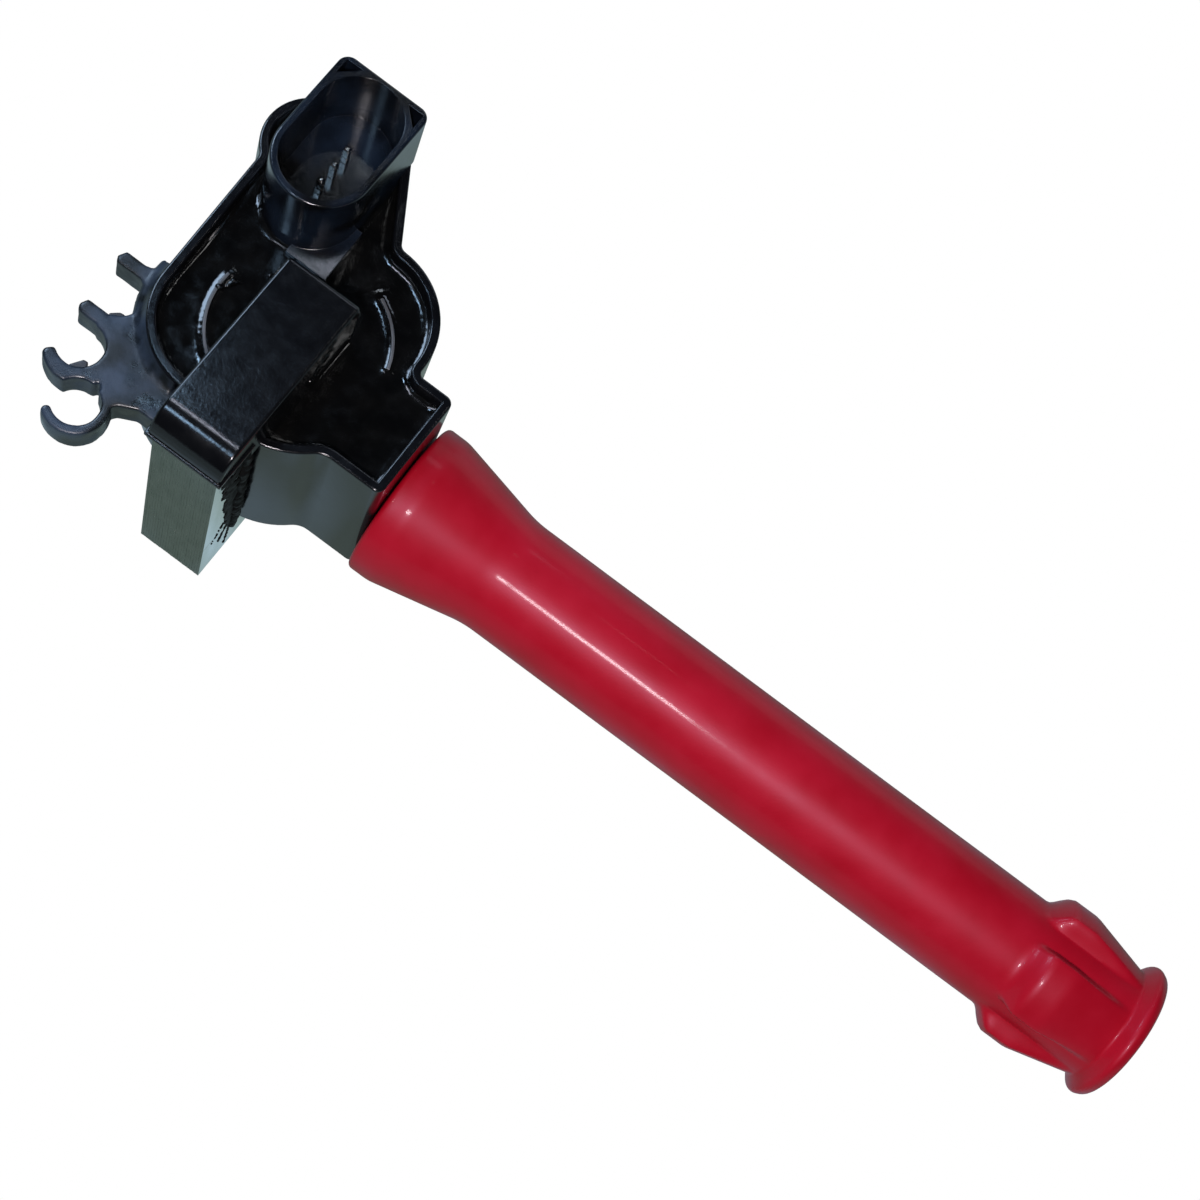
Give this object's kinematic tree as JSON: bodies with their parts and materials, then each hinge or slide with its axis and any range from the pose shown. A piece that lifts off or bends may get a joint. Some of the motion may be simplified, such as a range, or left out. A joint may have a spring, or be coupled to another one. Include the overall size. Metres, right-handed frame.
{
  "type": "ignition coil",
  "caption": "Potted ignition coil with an upright wiring connector, an open comb for the other plug leads and a long red plug boot with a sprung contact.",
  "frame": {"origin": "on the boot's axis, in the round sealing collar at the boot's root", "axes": "+X along the boot's axis towards the spark plug, +Z out of the tray's open, potted face, +Y from the lead comb's side towards the connector's side"},
  "size_m": [0.204, 0.0724, 0.0573],
  "materials": {
    "moulded_plastic": "black glass-filled plastic, moulded gloss",
    "potting_resin": "cast black epoxy, glossy where it was poured",
    "core_steel": "stacked lamination edges under a thin grey varnish",
    "magnet": "plated",
    "bobbin_plastic": "dark grey moulding",
    "copper_wire": "enamelled copper, soaked in resin",
    "tinned_terminal": "bright tin plate",
    "brass": "machined",
    "ceramic": "glazed ceramic",
    "spring_steel": "drawn wire",
    "sleeve_plastic": "stiff black insulating plastic",
    "boot_rubber": "smooth moulded red silicone rubber, satin"
  },
  "bodies": {
    "coil": {"housing": "moulded_plastic", "lead_comb": "moulded_plastic", "connector_shell": "moulded_plastic", "core_shroud": "moulded_plastic", "potting": "potting_resin", "core_upper": "core_steel", "core_lower": "core_steel", "gap_magnet": "magnet", "primary_bobbin": "bobbin_plastic", "secondary_bobbin": "bobbin_plastic", "primary_winding": "copper_wire", "secondary_winding": "copper_wire", "hv_diode": "potting_resin", "hv_lead": "tinned_terminal", "hv_terminal": "brass", "resistor_body": "ceramic", "resistor_caps": "tinned_terminal", "contact_spring": "spring_steel", "insulator_sleeve": "sleeve_plastic", "boot": "boot_rubber", "terminal_1": "tinned_terminal", "terminal_2": "tinned_terminal", "terminal_3": "tinned_terminal"},
    "contact": {"plug_contact": "brass"}
  },
  "joints": [
    {"name": "contact_slide", "type": "slide", "parent": "coil", "child": "contact", "axis": [-1, 0, 0], "range_m": [0, 0.005], "stiffness_N_per_m": 400, "deforming": ["contact_spring"]}
  ]
}
